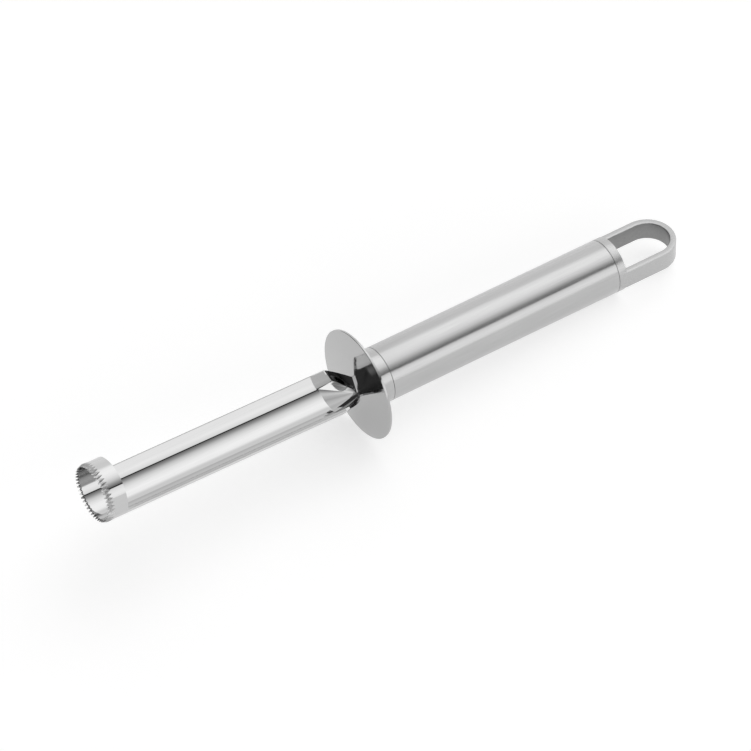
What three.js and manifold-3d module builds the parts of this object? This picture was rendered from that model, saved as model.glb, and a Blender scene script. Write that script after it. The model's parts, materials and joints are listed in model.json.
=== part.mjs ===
// Apple corer: a toothed coring blade with a pinched neck, a round guard disc and a hollow round handle
// that ends in a hanging loop. Millimetres, +Z up. The tool lies at rest on the rim of its guard disc and
// on the rear edge of its handle, with the open side of the blade up and the tip towards -X.

import * as THREE from 'three';
import { mergeVertices } from 'three/addons/utils/BufferGeometryUtils.js';
import Module from 'manifold-3d';

const wasm = await Module();
wasm.setup();

// Handle
const handleDiameter = 20;
const handleLength = 93;
const handleWall = 0.8;

// Guard disc
const discDiameter = 40.4;
const discThickness = 0.9;

// Front ferrule and its spigot inside the handle tube
const ferruleLength = 7.5;
const frontSpigotLength = 8;

// Loop end cap
const collarLength = 3;
const rearSpigotLength = 8;
const loopReach = 25.4;
const loopThickness = 7.2;
const loopOpeningWidth = 15.4;
const loopOpeningSetback = 0.6;
const loopEndWall = 2.2;

// Blade: a thin tube with a closed toothed ring, a long open trough and a neck pinched to a flat tang
const bladeDiameter = 21;
const sheetThickness = 0.8;
const bladeReach = 105.5;
const bladeRise = 4.9;
const bladePitch = THREE.MathUtils.degToRad(1.55);
const ringLength = 7.8;
const troughHalfAngle = THREE.MathUtils.degToRad(76);
const ringOverlap = 1;
const troughInset = 0.03;

// Neck: the trough closes to a small angle section in front of the disc, with a short low leg on the right
// and a tall leg on the left. The edges start to swing in before the bottom does, and swing in late.
const neckLength = 11.5;
const neckEdgeLead = 3.5;
const neckEdgeDelay = 1.3;
const neckEdgeFocus = 3;
const neckRightY = -2.6;
const neckRightZ = -3;
const neckValleyY = -0.5;
const neckValleyZ = -3.3;
const neckLeftY = 2.4;
const neckLeftZ = 2.2;
const neckValleyAngle = THREE.MathUtils.degToRad(42);

// Teeth: grooves ground into the outside of the ring at its tip
const toothCount = 46;
const grooveOuterLength = 2.7;
const grooveInnerLength = 0.9;
const grooveHalfAngle = THREE.MathUtils.degToRad(42);

// Tang: a flat bar welded into the neck, running through the disc and ferrule into the handle
const tangThickness = 2.1;
const tangTop = 3.2;
const tangBottom = -4.4;
const tangLead = 0.6;
const tangEnd = 38;
const tangRootOverlap = 0.4;

// Insert that grips the tang inside the handle, with its cross pin
const insertLength = 28;
const pinDiameter = 3;
const pinSetback = 10;

// Seal rings on both spigots
const sealSection = 1.2;
const sealSetback = 3;

// Clearances
const seam = 0.3;
const fit = 0.3;
const cutMargin = 5;
const weldDistance = 1e-4;

// Facets
const roundFacets = 48;
const ringFacets = 92;
const sheetFacets = 36;
const neckSteps = 12;
const sealFacets = 36;
const sealSectionFacets = 6;
const pinFacets = 24;
const loopFacets = 24;

// Sizes and stations that follow from the driving dimensions, measured along the handle axis from the
// front face of the disc
const handleRadius = handleDiameter / 2;
const discRadius = discDiameter / 2;
const boreRadius = handleRadius - handleWall;
const spigotRadius = boreRadius - fit;
const bladeOuterRadius = bladeDiameter / 2;
const bladeInnerRadius = bladeOuterRadius - sheetThickness;
const tipX = -bladeReach;
const ringRearX = tipX + ringLength;
const ferruleFrontX = discThickness + seam;
const ferruleRearX = ferruleFrontX + ferruleLength;
const frontSpigotEndX = ferruleRearX + frontSpigotLength;
const tubeFrontX = ferruleRearX + seam;
const tubeRearX = tubeFrontX + handleLength;
const collarFrontX = tubeRearX + seam;
const collarRearX = collarFrontX + collarLength;
const rearSpigotEndX = collarFrontX - rearSpigotLength;
const loopEndX = collarRearX + loopReach;
const insertFrontX = frontSpigotEndX + seam;
const insertRearX = insertFrontX + insertLength;
const pinX = insertFrontX + pinSetback;

// Finishes
const mirrorSteel = new THREE.MeshStandardMaterial({ color: 0xd2d3d2, roughness: 0.08, metalness: 1 });
const brushedSteel = new THREE.MeshStandardMaterial({ color: 0xc4c5c4, roughness: 0.34, metalness: 1 });
const satinSteel = new THREE.MeshStandardMaterial({ color: 0xc9c9c7, roughness: 0.42, metalness: 1 });
const plainSteel = new THREE.MeshStandardMaterial({ color: 0xb4b5b5, roughness: 0.25, metalness: 1 });
const insertPlastic = new THREE.MeshStandardMaterial({ color: 0x3a3b3d, roughness: 0.6, metalness: 0 });
const sealRubber = new THREE.MeshStandardMaterial({ color: 0x161616, roughness: 0.8, metalness: 0 });

// A geometry with shared vertices joined and triangles that shrink to a line dropped
function welded(geometry) {
  const plain = geometry.clone();
  plain.deleteAttribute('normal');
  plain.deleteAttribute('uv');
  const joined = mergeVertices(plain, weldDistance);
  const old = joined.getIndex().array;
  const kept = [];
  for (let i = 0; i < old.length; i += 3) {
    const [a, b, c] = [old[i], old[i + 1], old[i + 2]];
    if (a !== b && b !== c && c !== a) kept.push(a, b, c);
  }
  joined.setIndex(kept);
  return joined;
}

function solid(geometry) {
  const joined = welded(geometry);
  return new wasm.Manifold(new wasm.Mesh({
    numProp: 3,
    vertProperties: new Float32Array(joined.getAttribute('position').array),
    triVerts: new Uint32Array(joined.getIndex().array),
  }));
}

function geometryOf(body) {
  const mesh = body.getMesh();
  const geometry = new THREE.BufferGeometry();
  geometry.setAttribute('position', new THREE.BufferAttribute(new Float32Array(mesh.vertProperties), 3));
  geometry.setIndex(new THREE.BufferAttribute(new Uint32Array(mesh.triVerts), 1));
  geometry.computeVertexNormals();
  return geometry;
}

// A profile of [x, radius] points turned about the X axis, with a flat facet at the bottom
function turned(profile, facets) {
  const points = profile.map(([x, radius]) => new THREE.Vector2(radius, x));
  return new THREE.LatheGeometry(points, facets, Math.PI / facets).rotateZ(-Math.PI / 2);
}

// A turned ring whose section is the closed outline of the given [x, radius] points
function turnedRing(profile, facets) {
  return turned([...profile, profile[0]], facets);
}

// A box from its lowest to its highest corner
function block(low, high) {
  const size = high.map((value, i) => value - low[i]);
  const middle = high.map((value, i) => (value + low[i]) / 2);
  return new THREE.BoxGeometry(...size).translate(...middle);
}

// The space that the tang takes up between two stations, grown by a clearance on every side
function tangSpace(fromX, toX, clearance) {
  const side = tangThickness / 2 + clearance;
  return block([fromX, -side, tangBottom - clearance], [toX, side, tangTop + clearance]);
}

// A cylinder across the tool, in line with the cross pin
function pinBar(radius, halfLength) {
  return new THREE.CylinderGeometry(radius, radius, 2 * halfLength, pinFacets).translate(pinX, 0, 0);
}

// The blade's own axis lies above the handle axis and rises towards the tip
const bladePlace = new THREE.Matrix4().makeRotationY(bladePitch).setPosition(0, 0, bladeRise);

// The toothed ring: a closed length of tube whose tip is notched all round by slanted V grooves
function toothedRing() {
  let ring = solid(turnedRing([
    [tipX, bladeInnerRadius],
    [tipX, bladeOuterRadius],
    [ringRearX, bladeOuterRadius],
    [ringRearX, bladeInnerRadius],
  ], ringFacets));
  const grooveSlope = Math.atan2(sheetThickness, grooveOuterLength - grooveInnerLength);
  const cutterLength = 2 * (grooveOuterLength + cutMargin);
  const cutterHeight = sheetThickness + cutMargin;
  const halfWidth = cutterHeight * Math.tan(grooveHalfAngle);
  const vee = new THREE.Shape([
    new THREE.Vector2(0, 0),
    new THREE.Vector2(halfWidth, cutterHeight),
    new THREE.Vector2(-halfWidth, cutterHeight),
  ]);
  const cutter = new THREE.ExtrudeGeometry(vee, { depth: cutterLength, bevelEnabled: false });
  cutter.translate(0, 0, -cutterLength / 2);
  // The groove now runs along Z and opens towards +Y; it is laid along X, opening towards +Z
  cutter.rotateX(Math.PI / 2).rotateZ(Math.PI / 2);
  cutter.rotateY(-grooveSlope);
  cutter.translate(tipX + grooveOuterLength, 0, bladeOuterRadius);
  for (let i = 0; i < toothCount; i += 1) {
    const turn = (i / toothCount) * 2 * Math.PI;
    ring = ring.subtract(solid(cutter.clone().rotateX(turn)));
  }
  return ring;
}

// The share of the way round the sheet at one of its points, from -1 at the right edge to +1 at the left edge
function shareOf(i) {
  return (2 * i) / sheetFacets - 1;
}

// One cross-section of the trough, from one edge round the bottom to the other; xAt gives the station for
// each share
function troughSection(radius, xAt) {
  const points = [];
  for (let i = 0; i <= sheetFacets; i += 1) {
    const share = shareOf(i);
    const angle = share * troughHalfAngle;
    const point = new THREE.Vector3(xAt(share), radius * Math.sin(angle), -radius * Math.cos(angle));
    points.push(point.applyMatrix4(bladePlace));
  }
  return points;
}

// The cross-section where the neck meets the disc, from its right end over the valley to its left end. The
// offset moves it across the sheet, outwards for a positive value.
function neckEndSection(offset) {
  const right = new THREE.Vector2(neckRightY, neckRightZ);
  const valley = new THREE.Vector2(neckValleyY, neckValleyZ);
  const left = new THREE.Vector2(neckLeftY, neckLeftZ);
  const outwards = (from, to) => {
    const along = to.clone().sub(from).normalize();
    return new THREE.Vector2(along.y, -along.x);
  };
  const rightNormal = outwards(right, valley);
  const leftNormal = outwards(valley, left);
  const mitre = rightNormal.clone().add(leftNormal).divideScalar(1 + rightNormal.dot(leftNormal));
  const rightRim = right.clone().addScaledVector(rightNormal, offset);
  const bend = valley.clone().addScaledVector(mitre, offset);
  const leftRim = left.clone().addScaledVector(leftNormal, offset);
  const valleyShare = neckValleyAngle / troughHalfAngle;
  const points = [];
  for (let i = 0; i <= sheetFacets; i += 1) {
    const share = shareOf(i);
    const place = share < valleyShare
      ? rightRim.clone().lerp(bend, (share + 1) / (valleyShare + 1))
      : bend.clone().lerp(leftRim, (share - valleyShare) / (1 - valleyShare));
    points.push(new THREE.Vector3(-tangLead, place.x, place.y));
  }
  return points;
}

// A closed sheet between matching rows of outer and inner points, one row for each station
function sheetBetween(outerRows, innerRows) {
  const rows = outerRows.length;
  const width = outerRows[0].length;
  const positions = [];
  for (const point of [...outerRows.flat(), ...innerRows.flat()]) positions.push(point.x, point.y, point.z);
  const outer = (row, i) => row * width + i;
  const inner = (row, i) => (rows + row) * width + i;
  const faces = [];
  const quad = (a, b, c, d) => faces.push(a, b, c, a, c, d);
  for (let row = 0; row + 1 < rows; row += 1) {
    for (let i = 0; i + 1 < width; i += 1) {
      quad(outer(row, i), outer(row, i + 1), outer(row + 1, i + 1), outer(row + 1, i));
      quad(inner(row, i), inner(row + 1, i), inner(row + 1, i + 1), inner(row, i + 1));
    }
    quad(outer(row, 0), outer(row + 1, 0), inner(row + 1, 0), inner(row, 0));
    const last = width - 1;
    quad(outer(row, last), inner(row, last), inner(row + 1, last), outer(row + 1, last));
  }
  for (let i = 0; i + 1 < width; i += 1) {
    quad(outer(0, i), inner(0, i), inner(0, i + 1), outer(0, i + 1));
    const end = rows - 1;
    quad(outer(end, i), outer(end, i + 1), inner(end, i + 1), inner(end, i));
  }
  const geometry = new THREE.BufferGeometry();
  geometry.setAttribute('position', new THREE.Float32BufferAttribute(positions, 3));
  geometry.setIndex(faces);
  return geometry;
}

// The open trough and the neck that closes it
function troughAndNeck() {
  const edgeness = (share) => Math.abs(share) ** neckEdgeFocus;
  const neckStartX = (share) => -neckLength - neckEdgeLead * edgeness(share);
  const rowsAt = (radius, endOffset) => {
    const start = troughSection(radius, () => ringRearX - ringOverlap);
    const neckStart = troughSection(radius, neckStartX);
    const end = neckEndSection(endOffset);
    const rows = [start, neckStart];
    for (let step = 1; step <= neckSteps; step += 1) {
      const along = step / neckSteps;
      rows.push(neckStart.map((from, i) => {
        const across = along ** (1 + neckEdgeDelay * edgeness(shareOf(i)));
        const point = from.clone().lerp(end[i], across);
        point.x = THREE.MathUtils.lerp(from.x, end[i].x, along);
        return point;
      }));
    }
    return rows;
  };
  const outerRows = rowsAt(bladeOuterRadius - troughInset, sheetThickness / 2);
  const innerRows = rowsAt(bladeInnerRadius + troughInset, -sheetThickness / 2);
  return solid(sheetBetween(outerRows, innerRows));
}

function corerBlade() {
  const ring = solid(geometryOf(toothedRing()).applyMatrix4(bladePlace));
  const tang = solid(tangSpace(-tangLead - tangRootOverlap, tangEnd, 0));
  const pinHole = solid(pinBar(pinDiameter / 2 + fit, tangThickness / 2 + cutMargin));
  return ring.add(troughAndNeck()).add(tang.subtract(pinHole));
}

function guardDisc() {
  const disc = solid(turned([
    [0, 0],
    [0, discRadius],
    [discThickness, discRadius],
    [discThickness, 0],
  ], roundFacets));
  return disc.subtract(solid(tangSpace(-cutMargin, discThickness + cutMargin, fit)));
}

// The middle of a seal ring's groove, set back from a spigot's shoulder towards its free end
function sealX(shoulderX, freeEndX) {
  return shoulderX + Math.sign(freeEndX - shoulderX) * sealSetback;
}

const sealOuterRadius = boreRadius - fit;
const sealMiddleRadius = sealOuterRadius - sealSection / 2;

function sealGroove(middleX) {
  const halfWidth = sealSection / 2 + fit;
  const floor = sealMiddleRadius - sealSection / 2 - fit;
  return solid(turnedRing([
    [middleX - halfWidth, floor],
    [middleX - halfWidth, boreRadius],
    [middleX + halfWidth, boreRadius],
    [middleX + halfWidth, floor],
  ], roundFacets));
}

function sealRing(middleX) {
  const section = [];
  for (let i = 0; i < sealSectionFacets; i += 1) {
    const angle = -((i + 0.5) / sealSectionFacets) * 2 * Math.PI;
    const x = middleX + (sealSection / 2) * Math.cos(angle);
    section.push([x, sealMiddleRadius + (sealSection / 2) * Math.sin(angle)]);
  }
  return solid(turnedRing(section, sealFacets));
}

const frontSealX = sealX(ferruleRearX, frontSpigotEndX);
const rearSealX = sealX(collarFrontX, rearSpigotEndX);

function frontFerrule() {
  const body = solid(turned([
    [ferruleFrontX, 0],
    [ferruleFrontX, handleRadius],
    [ferruleRearX, handleRadius],
    [ferruleRearX, spigotRadius],
    [frontSpigotEndX, spigotRadius],
    [frontSpigotEndX, 0],
  ], roundFacets));
  const slot = solid(tangSpace(ferruleFrontX - cutMargin, frontSpigotEndX + cutMargin, fit));
  return body.subtract(sealGroove(frontSealX)).subtract(slot);
}

function handleTube() {
  return solid(turnedRing([
    [tubeFrontX, boreRadius],
    [tubeFrontX, handleRadius],
    [tubeRearX, handleRadius],
    [tubeRearX, boreRadius],
  ], roundFacets));
}

// One half of the insert that clamps the tang; side is +1 for the left half and -1 for the right half
function insertHalf(side) {
  const body = solid(turned([
    [insertFrontX, 0],
    [insertFrontX, spigotRadius],
    [insertRearX, spigotRadius],
    [insertRearX, 0],
  ], roundFacets));
  const splitY = side * (seam / 2);
  const farY = -side * (spigotRadius + cutMargin);
  const otherSide = solid(block(
    [insertFrontX - cutMargin, Math.min(splitY, farY), -spigotRadius - cutMargin],
    [insertRearX + cutMargin, Math.max(splitY, farY), spigotRadius + cutMargin],
  ));
  const slot = solid(tangSpace(insertFrontX - cutMargin, tangEnd + fit, fit));
  const pinHole = solid(pinBar(pinDiameter / 2 + fit, spigotRadius + cutMargin));
  return body.subtract(otherSide).subtract(slot).subtract(pinHole);
}

function tangPin() {
  const reach = Math.sqrt(boreRadius ** 2 - (pinDiameter / 2) ** 2) - fit;
  return solid(pinBar(pinDiameter / 2, reach));
}

// The plan outline of the loop and of its opening: straight arms and a round rear end
function loopPlan(halfWidth, frontX, roundX) {
  const plan = new THREE.Shape();
  plan.moveTo(frontX, -halfWidth);
  plan.lineTo(roundX, -halfWidth);
  plan.absarc(roundX, 0, halfWidth, -Math.PI / 2, Math.PI / 2, false);
  plan.lineTo(frontX, halfWidth);
  plan.closePath();
  return plan;
}

function loopSlab(plan, thickness) {
  const options = { depth: thickness, bevelEnabled: false, curveSegments: loopFacets };
  return solid(new THREE.ExtrudeGeometry(plan, options).translate(0, 0, -thickness / 2));
}

function loopEndCap() {
  const openingHalfWidth = loopOpeningWidth / 2;
  const openingRoundX = loopEndX - loopEndWall - openingHalfWidth;
  const body = solid(turned([
    [rearSpigotEndX, 0],
    [rearSpigotEndX, spigotRadius],
    [collarFrontX, spigotRadius],
    [collarFrontX, handleRadius],
    [collarRearX, handleRadius],
    [collarRearX, 0],
  ], roundFacets));
  const loopFrontX = collarRearX - collarLength / 2;
  const slab = loopSlab(loopPlan(handleRadius, loopFrontX, loopEndX - handleRadius), loopThickness);
  const openingPlan = loopPlan(openingHalfWidth, collarRearX + loopOpeningSetback, openingRoundX);
  const opening = loopSlab(openingPlan, handleDiameter);
  return body.subtract(sealGroove(rearSealX)).add(slab.subtract(opening));
}

const tool = new THREE.Group();

function addPiece(name, body, material) {
  const mesh = new THREE.Mesh(geometryOf(body), material);
  mesh.name = name;
  tool.add(mesh);
}

addPiece('corer_blade', corerBlade(), mirrorSteel);
addPiece('guard_disc', guardDisc(), mirrorSteel);
addPiece('front_ferrule', frontFerrule(), brushedSteel);
addPiece('front_seal_ring', sealRing(frontSealX), sealRubber);
addPiece('handle_tube', handleTube(), brushedSteel);
addPiece('tang_insert_left', insertHalf(1), insertPlastic);
addPiece('tang_insert_right', insertHalf(-1), insertPlastic);
addPiece('tang_pin', tangPin(), plainSteel);
addPiece('rear_seal_ring', sealRing(rearSealX), sealRubber);
addPiece('loop_end_cap', loopEndCap(), satinSteel);

// At rest the tool leans back on the rear edge of the disc's rim and the rear edge of the collar
const flatShare = Math.cos(Math.PI / roundFacets);
tool.rotation.y = Math.atan2((discRadius - handleRadius) * flatShare, collarRearX - discThickness);

// The origin is on the surface that the tool lies on, under the middle of its length and width
const extent = new THREE.Box3().setFromObject(tool, true);
const middle = extent.getCenter(new THREE.Vector3());
tool.position.set(-middle.x, -middle.y, -extent.min.z);

const apple_corer = new THREE.Group();
apple_corer.add(tool);

export default apple_corer;
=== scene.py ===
"""Apple corer: the visible pieces with their finer shapes and finishes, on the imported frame."""

import json
import math

import bmesh
import bpy
from mathutils import Matrix, Vector


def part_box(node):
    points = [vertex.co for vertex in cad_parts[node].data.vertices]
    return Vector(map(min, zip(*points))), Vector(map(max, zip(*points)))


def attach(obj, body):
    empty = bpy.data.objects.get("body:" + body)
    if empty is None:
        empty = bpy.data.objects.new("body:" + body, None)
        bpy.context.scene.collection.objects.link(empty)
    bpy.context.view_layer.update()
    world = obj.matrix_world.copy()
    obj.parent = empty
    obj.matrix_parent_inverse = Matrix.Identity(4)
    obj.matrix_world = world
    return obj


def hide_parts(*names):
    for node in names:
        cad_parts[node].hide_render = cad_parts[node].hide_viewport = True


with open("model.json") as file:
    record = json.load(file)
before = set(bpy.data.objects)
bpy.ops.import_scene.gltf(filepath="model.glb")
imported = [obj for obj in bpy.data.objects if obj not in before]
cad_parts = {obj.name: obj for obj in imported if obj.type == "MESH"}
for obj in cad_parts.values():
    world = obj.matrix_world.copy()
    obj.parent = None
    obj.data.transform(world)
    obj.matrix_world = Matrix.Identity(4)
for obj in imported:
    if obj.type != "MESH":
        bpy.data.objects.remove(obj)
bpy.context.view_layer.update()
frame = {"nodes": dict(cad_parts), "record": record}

MM = 0.001

# The solids' round sides are flat facets, so the round surfaces here lie just inside them
SOLID_FACETS = 48
FLAT_SHARE = math.cos(math.pi / SOLID_FACETS)

# Handle, disc and loop in millimetres, along the handle axis from the front face of the disc
HANDLE_RADIUS = 10.0 * FLAT_SHARE
HANDLE_WALL = 0.8
DISC_RADIUS = 20.19 * FLAT_SHARE
DISC_THICKNESS = 0.9
DISC_SEAM = 0.3
JOINT_LINE = 0.14
FRONT_JOINT = 8.86
REAR_JOINT = 102.15
FERRULE_FRONT = DISC_THICKNESS + DISC_SEAM
FERRULE_REAR = FRONT_JOINT - JOINT_LINE / 2
TUBE_FRONT = FERRULE_REAR + JOINT_LINE
TUBE_REAR = REAR_JOINT - JOINT_LINE / 2
COLLAR_FRONT = TUBE_REAR + JOINT_LINE
COLLAR_REAR = 105.3
SPIGOT_LENGTH = 8.0
SPIGOT_PLAY = 0.3
SPIGOT_RADIUS = HANDLE_RADIUS - HANDLE_WALL - SPIGOT_PLAY
LOOP_REACH = 25.4
LOOP_END = COLLAR_REAR + LOOP_REACH
LOOP_HALF_THICKNESS = 3.6
LOOP_END_WALL = 2.2
OPENING_HALF_WIDTH = 7.7

# Blade
BLADE_RADIUS = 10.49
SHEET = 0.8
BLADE_REACH = 105.5
BLADE_RISE = 4.9
BLADE_PITCH = math.radians(1.55)
RING_LENGTH = 7.8
TEETH = 46
GROOVE_OUTER = 2.9
GROOVE_INNER = 1.0
GROOVE_HALF_ANGLE = math.radians(48)
GROOVE_SHORTEST = 0.02
TOOTH_EDGE = 0.06
BEVEL_LENGTH = 0.9
BEVEL_DEPTH = 0.24
FLARE_ANGLE = math.radians(62)

# Neck: its right leg and its valley leave the trough at one place, its left wall folds in later
NECK_LENGTH = 11.0
NECK_END = -0.6
NECK_EDGE_LEAD = 0.4
NECK_EDGE_DELAY = 1.6
NECK_EDGE_FOCUS = 3
NECK_RIGHT = Vector((-2.6, -3.0))
NECK_VALLEY = Vector((-0.5, -3.3))
NECK_LEFT = Vector((2.4, 2.2))
NECK_VALLEY_ANGLE = math.radians(46)
FAR_FOLD_LOW = -5.0
FAR_FOLD_RIM = -6.8
FAR_FOLD_POWER = 1.25
FAR_FOLD_BLEND = 0.04

# Tang
TANG_HALF_THICKNESS = 1.05
TANG_TOP = 3.2
TANG_BOTTOM = -4.4
TANG_END = 38.0

# Edge roundings
DISC_EDGE = 0.2
FERRULE_EDGE = 0.15
JOINT_EDGE = 0.05
BORE_EDGE = 0.1
SPIGOT_EDGE = 0.3
COLLAR_EDGE = 0.1
LOOP_EDGE = 0.3
TANG_EDGE = 0.2

# Fineness of the meshes
ROUND = 160
EDGE_STEPS = 4
LOOP_EDGE_STEPS = 3
TOOTH_COLUMNS = 8
GROOVE_ROWS = 6
RING_ROWS = 3
RING_ROWS_SETBACK = 0.15
TROUGH_COLUMNS = 78
TROUGH_ROWS = 20
NECK_ROWS = 28
CREASE_SHARE = 0.008
AXIS_RADIUS = 2.0
WELD_DISTANCE = 1e-7
SHARP_ANGLE = 30.0
BLADE_SHARP_ANGLE = 22.0

# The tool leans on its disc rim and collar, so its own axes are turned and moved in the row frame
UP_IN_ROW = frame["record"]["mounts"][0]["axis"]
LEAN = math.atan2(UP_IN_ROW[0], UP_IN_ROW[2])
disc_low, disc_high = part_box("guard_disc")
DISC_MIDDLE = (disc_low + disc_high) / (2 * MM)
TOOL_PLACE = (
    Matrix.Translation(DISC_MIDDLE)
    @ Matrix.Rotation(LEAN, 4, "Y")
    @ Matrix.Translation((-DISC_THICKNESS / 2, 0, 0))
)
BLADE_PLACE = Matrix.Translation((0, 0, BLADE_RISE)) @ Matrix.Rotation(BLADE_PITCH, 4, "Y")


def clamped(value):
    return min(max(value, 0.0), 1.0)


def mesh_object(name, verts, faces):
    """An object from millimetre points in the tool's axes, welded, with its faces pointing out."""
    mesh = bpy.data.meshes.new(name)
    mesh.from_pydata([MM * (TOOL_PLACE @ Vector(v)) for v in verts], [], faces)
    work = bmesh.new()
    work.from_mesh(mesh)
    bmesh.ops.remove_doubles(work, verts=work.verts, dist=WELD_DISTANCE)
    bmesh.ops.recalc_face_normals(work, faces=work.faces)
    work.to_mesh(mesh)
    work.free()
    obj = bpy.data.objects.new(name, mesh)
    bpy.context.scene.collection.objects.link(obj)
    return obj


def finish_piece(obj, material, node, sharp=SHARP_ANGLE):
    """Shade a piece smooth between sharp edges, finish it and let it stand for its CAD node."""
    for polygon in obj.data.polygons:
        polygon.use_smooth = True
    obj.data.set_sharp_from_angle(angle=math.radians(sharp))
    if not obj.data.materials:
        obj.data.materials.append(material)
    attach(obj, "root")
    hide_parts(node)


def bridged(rings, closed=False):
    """Points and faces of rings joined in a row, with flat ends unless the row is closed."""
    width = len(rings[0])
    count = len(rings)
    verts = [point for ring in rings for point in ring]
    faces = []
    for r in range(count if closed else count - 1):
        after = (r + 1) % count
        for i in range(width):
            j = (i + 1) % width
            faces.append((r * width + i, r * width + j, after * width + j, after * width + i))
    if not closed:
        faces.append(tuple(range(width)))
        faces.append(tuple((count - 1) * width + i for i in range(width)))
    return verts, faces


def lathe(profile, closed=False):
    """Points and faces of [x, radius] pairs turned about the tool's axis."""
    rings = []
    for x, radius in profile:
        ring = []
        for i in range(ROUND):
            turn = 2 * math.pi * i / ROUND
            ring.append((x, radius * math.sin(turn), radius * math.cos(turn)))
        rings.append(ring)
    return bridged(rings, closed)


def rounded(points, radii, steps=EDGE_STEPS):
    """A closed outline whose corners are rounded off where their radius is above zero."""
    out = []
    count = len(points)
    for i, (point, radius) in enumerate(zip(points, radii)):
        here = Vector(point)
        if radius <= 0:
            out.append(tuple(here))
            continue
        to_last = (Vector(points[i - 1]) - here).normalized()
        to_next = (Vector(points[(i + 1) % count]) - here).normalized()
        half = to_last.angle(to_next) / 2
        setback = radius / math.tan(half)
        centre = here + (to_last + to_next).normalized() * (radius / math.sin(half))
        start = here + to_last * setback - centre
        end = here + to_next * setback - centre
        sweep = math.pi - 2 * half
        side = 1 if start.x * end.y - start.y * end.x > 0 else -1
        for k in range(steps + 1):
            turn = Matrix.Rotation(side * sweep * k / steps, 2)
            out.append(tuple(centre + turn @ start))
    return out


# Finishes

NOISE_RANGE = (0.3, 0.7)
GRAIN_DETAIL = 3.0
GRAIN_SHARE = 0.75
CLOUD_SCALE = 90.0
CLOUD_DETAIL = 2.0
CLOUD_STRETCH = 2.0
GRAIN_HEIGHT = 0.00002
SKIN_DETAIL = 4.0
SKIN_SPREAD = 0.2
SKIN_STRENGTH = 0.3
SKIN_HEIGHT = 0.00005


def new_material(name):
    material = bpy.data.materials.new(name)
    material.use_nodes = True
    tree = material.node_tree
    return material, tree, tree.nodes["Principled BSDF"]


def tool_coordinates(tree):
    """Coordinates along the tool's own axes, in metres."""
    coords = tree.nodes.new("ShaderNodeTexCoord")
    mapping = tree.nodes.new("ShaderNodeMapping")
    mapping.inputs["Rotation"].default_value = (0, -LEAN, 0)
    tree.links.new(coords.outputs["Object"], mapping.inputs["Vector"])
    return mapping.outputs["Vector"]


def stretched_noise(tree, vector, scale, detail, stretch):
    """Noise whose grains are drawn out along the tool's axis."""
    mapping = tree.nodes.new("ShaderNodeMapping")
    mapping.inputs["Scale"].default_value = (1.0 / stretch, 1.0, 1.0)
    tree.links.new(vector, mapping.inputs["Vector"])
    noise = tree.nodes.new("ShaderNodeTexNoise")
    noise.inputs["Scale"].default_value = scale
    noise.inputs["Detail"].default_value = detail
    tree.links.new(mapping.outputs["Vector"], noise.inputs["Vector"])
    return noise.outputs["Fac"]


def math_node(tree, operation, *values):
    """A Math node whose inputs are sockets or plain numbers."""
    node = tree.nodes.new("ShaderNodeMath")
    node.operation = operation
    for socket, value in zip(node.inputs, values):
        if isinstance(value, (int, float)):
            socket.default_value = value
        else:
            tree.links.new(value, socket)
    return node.outputs[0]


def grey(value):
    return (value, value, value, 1.0)


def tones(tree, value, low, high):
    """A grey between low and high that follows a noise value."""
    node = tree.nodes.new("ShaderNodeValToRGB")
    for stop, position, level in zip(node.color_ramp.elements, NOISE_RANGE, (low, high)):
        stop.position = position
        stop.color = grey(level)
    tree.links.new(value, node.inputs["Fac"])
    return node.outputs["Color"]


def span(tree, value, from_low, from_high, low, high):
    """A number that follows a value from one range into another, held at both ends."""
    node = tree.nodes.new("ShaderNodeMapRange")
    names = ("From Min", "From Max", "To Min", "To Max")
    for name, level in zip(names, (from_low, from_high, low, high)):
        node.inputs[name].default_value = level
    tree.links.new(value, node.inputs["Value"])
    return node.outputs["Result"]


def bump(tree, height, shader, strength, distance):
    node = tree.nodes.new("ShaderNodeBump")
    node.inputs["Strength"].default_value = strength
    node.inputs["Distance"].default_value = distance
    tree.links.new(height, node.inputs["Height"])
    tree.links.new(node.outputs["Normal"], shader.inputs["Normal"])


def steel(name, tone, spread, roughness, scale, stretch, depth):
    """Bare steel: grain along the tool, faint clouds and a roughness that follows both."""
    material, tree, shader = new_material(name)
    shader.inputs["Metallic"].default_value = 1.0
    where = tool_coordinates(tree)
    grain = stretched_noise(tree, where, scale, GRAIN_DETAIL, stretch)
    cloud = stretched_noise(tree, where, CLOUD_SCALE, CLOUD_DETAIL, CLOUD_STRETCH)
    cloud = math_node(tree, "MULTIPLY", cloud, 1 - GRAIN_SHARE)
    mixed = math_node(tree, "MULTIPLY_ADD", grain, GRAIN_SHARE, cloud)
    colour = tones(tree, mixed, tone - spread, tone + spread)
    tree.links.new(colour, shader.inputs["Base Color"])
    tree.links.new(span(tree, mixed, *NOISE_RANGE, *roughness), shader.inputs["Roughness"])
    bump(tree, grain, shader, depth, GRAIN_HEIGHT)
    return material


def moulded(name, tone, roughness, scale):
    """Moulded plastic or rubber with a fine skin."""
    material, tree, shader = new_material(name)
    skin = stretched_noise(tree, tool_coordinates(tree), scale, SKIN_DETAIL, 1.0)
    colour = tones(tree, skin, tone * (1 - SKIN_SPREAD), tone * (1 + SKIN_SPREAD))
    tree.links.new(colour, shader.inputs["Base Color"])
    tree.links.new(span(tree, skin, *NOISE_RANGE, *roughness), shader.inputs["Roughness"])
    bump(tree, skin, shader, SKIN_STRENGTH, SKIN_HEIGHT)
    return material


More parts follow.
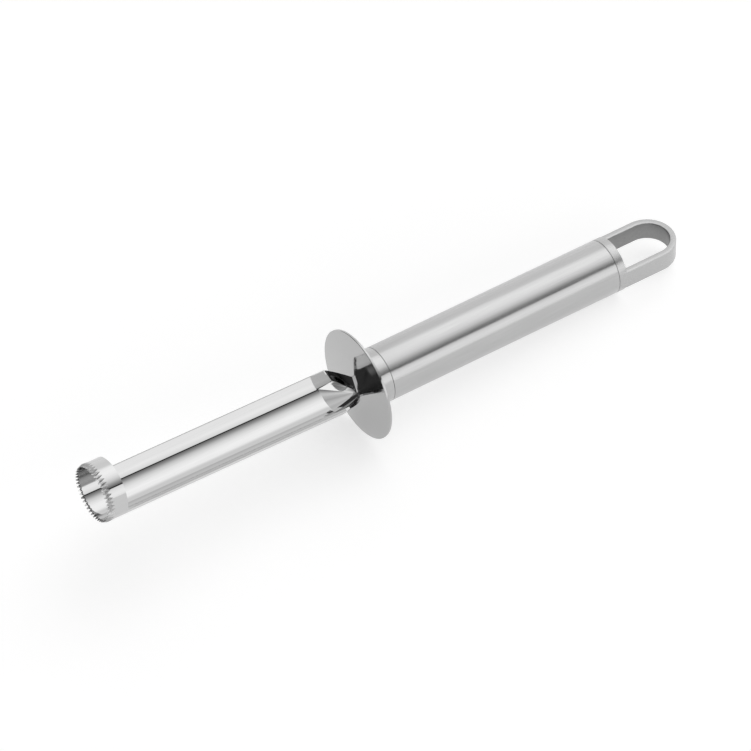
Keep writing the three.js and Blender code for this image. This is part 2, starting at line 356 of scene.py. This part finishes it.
BLADE_STEEL = steel(
    "blade_steel", tone=0.55, spread=0.012, roughness=(0.025, 0.045),
    scale=2600.0, stretch=30.0, depth=0.02,
)
# Darker steel: painted shade on the ring's upper inside and the lower groove flanks; on the
# trough's rims partly a ground cut edge, partly painted shade
SHADE_AND_GROUND_STEEL = steel(
    "painted_shade_and_ground_steel", tone=0.36, spread=0.02, roughness=(0.14, 0.2),
    scale=2600.0, stretch=6.0, depth=0.05,
)
# Rough ground steel whose lighter tone is painted light on the upper groove flanks
LIT_TOOTH_STEEL = steel(
    "painted_light_tooth_steel", tone=0.6, spread=0.02, roughness=(0.36, 0.44),
    scale=2600.0, stretch=6.0, depth=0.05,
)
DISC_STEEL = steel(
    "disc_steel", tone=0.45, spread=0.012, roughness=(0.09, 0.12),
    scale=2600.0, stretch=4.0, depth=0.02,
)
HANDLE_STEEL = steel(
    "handle_steel", tone=0.48, spread=0.026, roughness=(0.16, 0.22),
    scale=4200.0, stretch=60.0, depth=0.16,
)
CAP_STEEL = steel(
    "cap_steel", tone=0.485, spread=0.012, roughness=(0.25, 0.31),
    scale=6500.0, stretch=12.0, depth=0.03,
)
# Rough cast steel for the loop opening's wall and the collar's rear face; its dark tone is painted
# shade in the opening
CAST_AND_SHADE_STEEL = steel(
    "cast_painted_shade_steel", tone=0.3, spread=0.04, roughness=(0.4, 0.5),
    scale=3200.0, stretch=3.0, depth=0.3,
)
PLAIN_STEEL = steel(
    "plain_steel", tone=0.5, spread=0.03, roughness=(0.2, 0.3),
    scale=3000.0, stretch=20.0, depth=0.1,
)
PLASTIC = moulded("insert_plastic", tone=0.045, roughness=(0.5, 0.65), scale=1500.0)
RUBBER = moulded("seal_rubber", tone=0.012, roughness=(0.7, 0.85), scale=2200.0)


# Ring, trough and neck of the blade

TOTAL_COLUMNS = TEETH * TOOTH_COLUMNS
RING_COLUMNS = range(-TOTAL_COLUMNS // 2, TOTAL_COLUMNS // 2)
SHEET_COLUMNS = range(-TROUGH_COLUMNS, TROUGH_COLUMNS + 1)
INNER_RADIUS = BLADE_RADIUS - SHEET
TIP = -BLADE_REACH
RING_REAR = TIP + RING_LENGTH

# Where the blade's three materials lie: angles from the bottom, heights and the faces' directions.
# The ring's upper inside and the lower groove flanks get painted shade, and the upper groove
# flanks get a painted lighter tone.
BLADE_FINISHES_AND_SHADES = (BLADE_STEEL, SHADE_AND_GROUND_STEEL, LIT_TOOTH_STEEL)
SHADE_AND_GROUND_SLOT = 1
LIT_TOOTH_SLOT = 2
RING_SHADE_ANGLE = math.radians(64)
LIT_TOOTH_LEVEL = -2.0
GROOVE_FACING = -0.15
RIM_FACING = 0.5


def column_angle(column):
    return 2 * math.pi * column / TOTAL_COLUMNS


VALLEY_SHARE = NECK_VALLEY_ANGLE / column_angle(TROUGH_COLUMNS)


def blade_point(x, radius, column):
    angle = column_angle(column)
    return BLADE_PLACE @ Vector((x, radius * math.sin(angle), -radius * math.cos(angle)))


def sheet_points(x, column, outer_radius=BLADE_RADIUS, inner_radius=INNER_RADIUS):
    return blade_point(x, outer_radius, column), blade_point(x, inner_radius, column)


def flared_points(x, column):
    """Points of the trough's sheet, which runs out straight above the flare angle."""
    angle = column_angle(column)
    bend = min(max(angle, -FLARE_ANGLE), FLARE_ANGLE)
    run = INNER_RADIUS * (angle - bend)
    points = []
    for radius in (BLADE_RADIUS, INNER_RADIUS):
        y = radius * math.sin(bend) + run * math.cos(bend)
        z = -radius * math.cos(bend) + run * math.sin(bend)
        points.append(BLADE_PLACE @ Vector((x, y, z)))
    return tuple(points)


def groove_rise(column):
    """How far the side of the nearest groove has risen above its bottom at this column."""
    from_bottom = 0.5 - abs((column % TOOTH_COLUMNS) / TOOTH_COLUMNS - 0.5)
    pitch = 2 * math.pi * BLADE_RADIUS / TEETH
    return from_bottom * pitch / math.tan(GROOVE_HALF_ANGLE)


def tooth_rows():
    """Rows from the ground tip of the ring to just behind the grooves."""
    slope = SHEET / (GROOVE_OUTER - GROOVE_INNER)
    rows = []
    for step in range(GROOVE_ROWS + 1):
        row = {}
        for column in RING_COLUMNS:
            rise = groove_rise(column)
            start = max(0.0, GROOVE_OUTER - (SHEET - TOOTH_EDGE + rise) / slope)
            run_out = max(GROOVE_OUTER - rise / slope, start + GROOVE_SHORTEST)
            x = start + (run_out - start) * step / GROOVE_ROWS
            inner = INNER_RADIUS + BEVEL_DEPTH * max(0.0, 1 - x / BEVEL_LENGTH)
            outer = min(BLADE_RADIUS, BLADE_RADIUS - (GROOVE_OUTER - x) * slope + rise)
            row[column] = sheet_points(TIP + x, column, max(outer, inner + TOOTH_EDGE), inner)
        rows.append(row)
    return rows


def ring_rows():
    front = GROOVE_OUTER + RING_ROWS_SETBACK
    stations = [front + (RING_LENGTH - front) * step / RING_ROWS for step in range(RING_ROWS + 1)]
    return [{column: sheet_points(TIP + x, column) for column in RING_COLUMNS} for x in stations]


def neck_path(column):
    """Where a column leaves the trough and the power that it swings in with."""
    share = column / TROUGH_COLUMNS
    if share < 0:
        edge = abs(share) ** NECK_EDGE_FOCUS
        return -NECK_LENGTH - NECK_EDGE_LEAD * edge, 1 + NECK_EDGE_DELAY * edge
    height = max((share - VALLEY_SHARE) / (1 - VALLEY_SHARE), 0.0)
    fold = FAR_FOLD_LOW + (FAR_FOLD_RIM - FAR_FOLD_LOW) * height
    far = clamped((share - VALLEY_SHARE) / FAR_FOLD_BLEND)
    return -NECK_LENGTH + (fold + NECK_LENGTH) * far, 1 + (FAR_FOLD_POWER - 1) * far


def trough_rows():
    """Rows from behind the ring to where the neck starts, with one row close before the crease."""
    steps = [step / TROUGH_ROWS for step in range(1, TROUGH_ROWS)]
    rows = []
    for share in [CREASE_SHARE] + steps + [1 - CREASE_SHARE, 1.0]:
        row = {}
        for column in SHEET_COLUMNS:
            neck_start, _ = neck_path(column)
            row[column] = flared_points(RING_REAR + (neck_start - RING_REAR) * share, column)
        rows.append(row)
    return rows


def neck_end(column, offset):
    """A point of the angle section in front of the disc, moved across the sheet by the offset."""
    def outwards(start, end):
        along = (end - start).normalized()
        return Vector((along.y, -along.x))
    right_normal = outwards(NECK_RIGHT, NECK_VALLEY)
    left_normal = outwards(NECK_VALLEY, NECK_LEFT)
    mitre = (right_normal + left_normal) / (1 + right_normal.dot(left_normal))
    right = NECK_RIGHT + right_normal * offset
    bend = NECK_VALLEY + mitre * offset
    left = NECK_LEFT + left_normal * offset
    share = column / TROUGH_COLUMNS
    if share < VALLEY_SHARE:
        place = right.lerp(bend, (share + 1) / (VALLEY_SHARE + 1))
    else:
        place = bend.lerp(left, (share - VALLEY_SHARE) / (1 - VALLEY_SHARE))
    return Vector((NECK_END, place.x, place.y))


def neck_rows(start):
    """Rows from the start of the neck to the disc, the last of them half way into the disc."""
    rows = []
    for share in [CREASE_SHARE] + [step / NECK_ROWS for step in range(1, NECK_ROWS + 1)]:
        row = {}
        for column in SHEET_COLUMNS:
            _, power = neck_path(column)
            points = []
            for begin, offset in zip(start[column], (SHEET / 2, -SHEET / 2)):
                end = neck_end(column, offset)
                point = begin.lerp(end, share ** power)
                point.x = begin.x + (end.x - begin.x) * share
                points.append(point)
            row[column] = tuple(points)
        rows.append(row)
    into_disc = Vector((DISC_THICKNESS / 2 - NECK_END, 0, 0))
    last = {}
    for column, pair in rows[-1].items():
        last[column] = tuple(point + into_disc for point in pair)
    return rows + [last]


def tang_bar():
    """Points and faces of the flat bar that runs from inside the disc into the handle."""
    side = TANG_HALF_THICKNESS
    corners = [(-side, TANG_BOTTOM), (side, TANG_BOTTOM), (side, TANG_TOP), (-side, TANG_TOP)]
    section = rounded(corners, [TANG_EDGE] * len(corners))
    return bridged([[(x, y, z) for y, z in section] for x in (DISC_THICKNESS / 2, TANG_END)])


def finish_and_shade_faces(mesh):
    """Painted shade on the ring's upper inside and the lower groove flanks, a painted lighter tone
    on the upper groove flanks, and on the trough's rims a ground edge darkened partly by painted
    shade.
    """
    for material in BLADE_FINISHES_AND_SHADES:
        mesh.materials.append(material)
    back = (TOOL_PLACE @ BLADE_PLACE).inverted()
    for polygon in mesh.polygons:
        place = back @ (polygon.center / MM)
        facing = back.to_3x3() @ polygon.normal
        outwards = Vector((place.y, place.z)).normalized().dot((facing.y, facing.z))
        if place.x < RING_REAR:
            # Painted shade on the ring's upper inside past the angle
            if outwards < 0 and abs(math.atan2(place.y, -place.z)) > RING_SHADE_ANGLE:
                polygon.material_index = SHADE_AND_GROUND_SLOT
            # Groove flanks: a painted lighter tone above the level, painted shade below it
            elif outwards > 0 and facing.x < GROOVE_FACING:
                polygon.material_index = LIT_TOOTH_SLOT if place.z > LIT_TOOTH_LEVEL else SHADE_AND_GROUND_SLOT
        # Trough rims: a ground cut edge whose darker tone is also painted shade over their bright
        # reflection
        elif place.x < -NECK_LENGTH and max(abs(outwards), abs(facing.x)) < RIM_FACING:
            polygon.material_index = SHADE_AND_GROUND_SLOT


def build_blade():
    """The ring, the trough and the neck as one sheet of cells, and the tang bar behind it."""
    ring = tooth_rows() + ring_rows()
    trough = trough_rows()
    rows = ring + trough + neck_rows(trough[-1])
    verts = []
    index = {}
    for r, row in enumerate(rows):
        for column, pair in row.items():
            for side, point in enumerate(pair):
                index[r, column, side] = len(verts)
                verts.append(tuple(point))

    def wrap(column):
        return (column + TOTAL_COLUMNS // 2) % TOTAL_COLUMNS - TOTAL_COLUMNS // 2

    cells = set()
    for r in range(len(rows) - 1):
        columns = RING_COLUMNS if r + 1 < len(ring) else SHEET_COLUMNS[:-1]
        cells.update((r, column) for column in columns)
    faces = []

    def rim(r0, c0, r1, c1):
        faces.append((index[r0, c0, 0], index[r1, c1, 0], index[r1, c1, 1], index[r0, c0, 1]))

    for r, column in sorted(cells):
        after = wrap(column + 1)
        for side in (0, 1):
            corners = ((r, column), (r, after), (r + 1, after), (r + 1, column))
            faces.append(tuple(index[row, c, side] for row, c in corners))
        if (r - 1, column) not in cells:
            rim(r, column, r, after)
        if (r + 1, column) not in cells:
            rim(r + 1, column, r + 1, after)
        if (r, wrap(column - 1)) not in cells:
            rim(r, column, r + 1, column)
        if (r, after) not in cells:
            rim(r, after, r + 1, after)
    bar_verts, bar_faces = tang_bar()
    faces += [tuple(len(verts) + i for i in face) for face in bar_faces]
    verts += bar_verts
    blade = mesh_object("blade", verts, faces)
    finish_and_shade_faces(blade.data)
    finish_piece(blade, BLADE_STEEL, "corer_blade", BLADE_SHARP_ANGLE)


# Disc, ferrule and tube


def build_disc():
    outline = [
        (0, AXIS_RADIUS), (0, DISC_RADIUS),
        (DISC_THICKNESS, DISC_RADIUS), (DISC_THICKNESS, AXIS_RADIUS),
    ]
    verts, faces = lathe(rounded(outline, [0, DISC_EDGE, DISC_EDGE, 0]))
    plate = mesh_object("guard_plate", verts, faces)
    finish_piece(plate, DISC_STEEL, "guard_disc")


def build_ferrule():
    end = FERRULE_REAR + SPIGOT_LENGTH
    outline = [
        (FERRULE_FRONT, AXIS_RADIUS), (FERRULE_FRONT, HANDLE_RADIUS),
        (FERRULE_REAR, HANDLE_RADIUS), (FERRULE_REAR, SPIGOT_RADIUS),
        (end, SPIGOT_RADIUS), (end, AXIS_RADIUS),
    ]
    verts, faces = lathe(rounded(outline, [0, FERRULE_EDGE, JOINT_EDGE, 0, SPIGOT_EDGE, 0]))
    ferrule = mesh_object("ferrule", verts, faces)
    finish_piece(ferrule, HANDLE_STEEL, "front_ferrule")


def build_tube():
    bore = HANDLE_RADIUS - HANDLE_WALL
    outline = [
        (TUBE_FRONT, bore), (TUBE_FRONT, HANDLE_RADIUS),
        (TUBE_REAR, HANDLE_RADIUS), (TUBE_REAR, bore),
    ]
    profile = rounded(outline, [BORE_EDGE, JOINT_EDGE, JOINT_EDGE, BORE_EDGE])
    verts, faces = lathe(profile, closed=True)
    tube = mesh_object("grip_tube", verts, faces)
    finish_piece(tube, HANDLE_STEEL, "handle_tube")


# Loop end cap

ARM_STEPS = 20
BOW_STEPS = 72
FACE_STEPS = 12
LOOP_FRONT_SETBACK = 0.4
LOOP_FRONT = COLLAR_FRONT + LOOP_FRONT_SETBACK
OPENING_ROUND_X = LOOP_END - LOOP_END_WALL - OPENING_HALF_WIDTH
FLUSH_INSET = 0.02
STRAIGHT = 1e-6

# Where the cast finish with its painted shade lies, by the faces' directions
CAP_FINISHES_AND_SHADE = (CAP_STEEL, CAST_AND_SHADE_STEEL)
CAST_AND_SHADE_SLOT = 1
WALL_FACING = 0.5
END_FACING = 0.9


def loop_stations():
    """Points of the opening's outline with the direction straight out from it, arm to arm."""
    arm = []
    for i in range(ARM_STEPS):
        x = LOOP_FRONT + (OPENING_ROUND_X - LOOP_FRONT) * i / ARM_STEPS
        arm.append((Vector((x, OPENING_HALF_WIDTH)), Vector((0, 1))))
    bow = []
    for i in range(BOW_STEPS + 1):
        turn = math.pi / 2 - math.pi * i / BOW_STEPS
        out = Vector((math.cos(turn), math.sin(turn)))
        bow.append((Vector((OPENING_ROUND_X, 0)) + OPENING_HALF_WIDTH * out, out))
    other_arm = [(Vector((place.x, -place.y)), -out) for place, out in reversed(arm)]
    return arm + bow + other_arm


def loop_depth(inner, out, z):
    """The wall's depth at a height: the collar's round side runs out into upright arms."""
    bow_x = LOOP_END - HANDLE_RADIUS
    share = clamped((inner.x - LOOP_FRONT) / (COLLAR_REAR - LOOP_FRONT))
    ease = share * share * (3 - 2 * share)
    round_side = math.sqrt(HANDLE_RADIUS ** 2 - z * z) - FLUSH_INSET
    side = round_side + (HANDLE_RADIUS - round_side) * ease
    from_bow = inner - Vector((bow_x, 0))
    along = from_bow.dot(out)
    reach = along ** 2 - from_bow.length_squared + HANDLE_RADIUS ** 2
    to_bow = -along + math.sqrt(max(reach, 0.0))
    if abs(out.y) < STRAIGHT:
        return to_bow
    to_side = (side - abs(inner.y)) / abs(out.y)
    if inner.x + out.x * to_side <= bow_x:
        return to_side
    return min(to_side, to_bow)


def loop_bow():
    half = LOOP_HALF_THICKNESS
    heights = [half - 2 * half * k / FACE_STEPS for k in range(FACE_STEPS + 1)]
    edges = [LOOP_EDGE] * 3 + [0] * (FACE_STEPS - 1) + [LOOP_EDGE]
    rings = []
    for inner, out in loop_stations():
        outline = [(0.0, -half), (0.0, half)] + [(loop_depth(inner, out, z), z) for z in heights]
        ring = []
        for depth, z in rounded(outline, edges, LOOP_EDGE_STEPS):
            ring.append((inner.x + out.x * depth, inner.y + out.y * depth, z))
        rings.append(ring)
    return mesh_object("loop_bow", *bridged(rings))


def collar():
    end = COLLAR_FRONT - SPIGOT_LENGTH
    outline = [
        (end, AXIS_RADIUS), (end, SPIGOT_RADIUS),
        (COLLAR_FRONT, SPIGOT_RADIUS), (COLLAR_FRONT, HANDLE_RADIUS),
        (COLLAR_REAR, HANDLE_RADIUS), (COLLAR_REAR, AXIS_RADIUS),
    ]
    profile = rounded(outline, [0, SPIGOT_EDGE, 0, JOINT_EDGE, COLLAR_EDGE, 0])
    return mesh_object("loop_cap", *lathe(profile))


def build_cap():
    """The collar and the bow joined into one body, with the opening's wall left as cast and
    darkened with painted shade.
    """
    cap = collar()
    bow = loop_bow()
    join = cap.modifiers.new("join", "BOOLEAN")
    join.operation = "UNION"
    join.solver = "EXACT"
    join.object = bow
    evaluated = cap.evaluated_get(bpy.context.evaluated_depsgraph_get())
    joined = bpy.data.meshes.new_from_object(evaluated)
    cap.modifiers.clear()
    cap.data = joined
    bow_mesh = bow.data
    bpy.data.objects.remove(bow)
    bpy.data.meshes.remove(bow_mesh)
    joined.materials.clear()
    for material in CAP_FINISHES_AND_SHADE:
        joined.materials.append(material)
    back = TOOL_PLACE.inverted()
    for polygon in joined.polygons:
        place = back @ (polygon.center / MM)
        facing = back.to_3x3() @ polygon.normal
        middle = Vector((min(place.x, OPENING_ROUND_X), 0, 0))
        inwards = (middle - place) * Vector((1, 1, 0))
        is_end = abs(place.x - COLLAR_REAR) < JOINT_LINE and facing.x > END_FACING
        is_side = place.x > COLLAR_REAR and facing.x < END_FACING
        is_side = is_side and abs(facing.z) < WALL_FACING and facing.dot(inwards) > 0
        # The opening's wall and the collar's rear face get the cast steel, whose dark tone is
        # painted shade
        polygon.material_index = CAST_AND_SHADE_SLOT if is_end or is_side else 0
    finish_piece(cap, CAP_STEEL, "loop_end_cap")


build_blade()
build_disc()
build_ferrule()
build_tube()
build_cap()

# The hidden pieces keep the solids' shapes and only get their finishes
INNER_FINISHES = {
    "front_seal_ring": RUBBER,
    "rear_seal_ring": RUBBER,
    "tang_insert_left": PLASTIC,
    "tang_insert_right": PLASTIC,
    "tang_pin": PLAIN_STEEL,
}
for node, material in INNER_FINISHES.items():
    slots = frame["nodes"][node].data.materials
    slots.clear()
    slots.append(material)


# Studio: a pale floor and a soft light all round that fades out past the tip

FLOOR_SIZE = 6.0
FLOOR_DROP = 0.0002
FLOOR_TONE = 0.6
FLOOR_GLOW = 0.61

# Brightness of the studio by degrees from straight up, positive towards the camera's side
STUDIO = [
    (-180, 1.06), (-90, 1.1), (-60, 1.04), (-42, 1.06), (-36, 1.25), (-29, 1.5),
    (-10, 1.57), (2, 1.48), (14, 1.31), (24, 1.08), (30, 0.88), (38, 0.54),
    (46, 0.3), (49.5, 0.2), (50.5, 0.0), (53.4, 0.0), (54, 1.18), (60, 1.28),
    (66, 1.36), (74, 1.46), (82, 1.42), (88, 1.36), (92, 1.09), (180, 1.03),
]
# Share of that brightness by direction along the tool, from past the tip to past the loop
FADE = [
    (-1.0, 0.05), (-0.35, 0.05), (-0.1, 0.22), (0.05, 0.42), (0.2, 0.62), (0.3, 1.0), (1.0, 1.0),
]
# How much later the light fades on the near side
NEAR_SIDE_LIFT = 1.0
NEW_STOP = 0.5


def build_floor():
    mesh = bpy.data.meshes.new("floor")
    size = FLOOR_SIZE
    corners = [(-size, -size, 0), (size, -size, 0), (size, size, 0), (-size, size, 0)]
    mesh.from_pydata(corners, [], [(0, 1, 2, 3)])
    floor = bpy.data.objects.new("floor", mesh)
    bpy.context.scene.collection.objects.link(floor)
    floor.location.z = -FLOOR_DROP
    material, tree, shader = new_material("floor_white")
    tree.nodes.remove(shader)
    diffuse = tree.nodes.new("ShaderNodeBsdfDiffuse")
    diffuse.inputs["Color"].default_value = grey(FLOOR_TONE)
    path = tree.nodes.new("ShaderNodeLightPath")
    seen = math_node(tree, "MAXIMUM", path.outputs["Is Camera Ray"], path.outputs["Is Glossy Ray"])
    seen = math_node(tree, "MAXIMUM", seen, path.outputs["Is Transmission Ray"])
    glow = tree.nodes.new("ShaderNodeEmission")
    tree.links.new(math_node(tree, "MULTIPLY", seen, FLOOR_GLOW), glow.inputs["Strength"])
    both = tree.nodes.new("ShaderNodeAddShader")
    tree.links.new(diffuse.outputs[0], both.inputs[0])
    tree.links.new(glow.outputs[0], both.inputs[1])
    tree.links.new(both.outputs[0], tree.nodes["Material Output"].inputs["Surface"])
    mesh.materials.append(material)


def level_curve(tree, value, stops):
    """A grey that follows a value through stops of position and level."""
    node = tree.nodes.new("ShaderNodeValToRGB")
    elements = node.color_ramp.elements
    while len(elements) < len(stops):
        elements.new(NEW_STOP)
    for element, (position, level) in zip(elements, stops):
        element.position = position
        element.color = grey(level)
    tree.links.new(value, node.inputs["Fac"])
    return node.outputs["Color"]


def build_world():
    """Light from all round: the studio's brightness about the tool times its fade along it."""
    world = bpy.data.worlds.new("studio")
    bpy.context.scene.world = world
    world.use_nodes = True
    tree = world.node_tree
    background = tree.nodes["Background"]
    coords = tree.nodes.new("ShaderNodeTexCoord")
    split = tree.nodes.new("ShaderNodeSeparateXYZ")
    tree.links.new(coords.outputs["Generated"], split.inputs[0])
    towards_camera = math_node(tree, "MULTIPLY", split.outputs["Y"], -1.0)
    angle = math_node(tree, "ARCTAN2", towards_camera, split.outputs["Z"])
    top = max(level for _, level in STUDIO)
    around = level_curve(tree, span(tree, angle, -math.pi, math.pi, 0.0, 1.0),
                         [((degrees + 180) / 360, level / top) for degrees, level in STUDIO])
    near_side = math_node(tree, "MAXIMUM", towards_camera, 0.0)
    near_side = math_node(tree, "MULTIPLY", near_side, NEAR_SIDE_LIFT)
    rearwards = math_node(tree, "ADD", split.outputs["X"], near_side)
    along = level_curve(tree, span(tree, rearwards, -1.0, 1.0, 0.0, 1.0),
                        [((share + 1) / 2, level) for share, level in FADE])
    tree.links.new(around, background.inputs["Color"])
    tree.links.new(math_node(tree, "MULTIPLY", along, top), background.inputs["Strength"])


build_floor()
build_world()

# Camera
CAMERA_PLACE = Vector((-0.65156, -1.22267, 1.51294))
CAMERA_AIM = Vector((-0.00579, -0.00153, 0.02148))
CAMERA_ROLL = math.radians(8.149)
IMAGE_SIZE = 751
FOCAL_PIXELS = 6000.0
SENSOR_WIDTH = 36.0
CLIP_END = 50.0
camera_data = bpy.data.cameras.new("camera")
camera = bpy.data.objects.new("camera", camera_data)
bpy.context.scene.collection.objects.link(camera)
camera_data.sensor_width = SENSOR_WIDTH
camera_data.lens = FOCAL_PIXELS * SENSOR_WIDTH / IMAGE_SIZE
camera_data.clip_end = CLIP_END
look = (CAMERA_AIM - CAMERA_PLACE).to_track_quat("-Z", "Y").to_matrix().to_4x4()
roll = Matrix.Rotation(-CAMERA_ROLL, 4, "Z")
camera.matrix_world = Matrix.Translation(CAMERA_PLACE) @ look @ roll
bpy.context.scene.camera = camera
bpy.context.scene.view_settings.view_transform = "Standard"
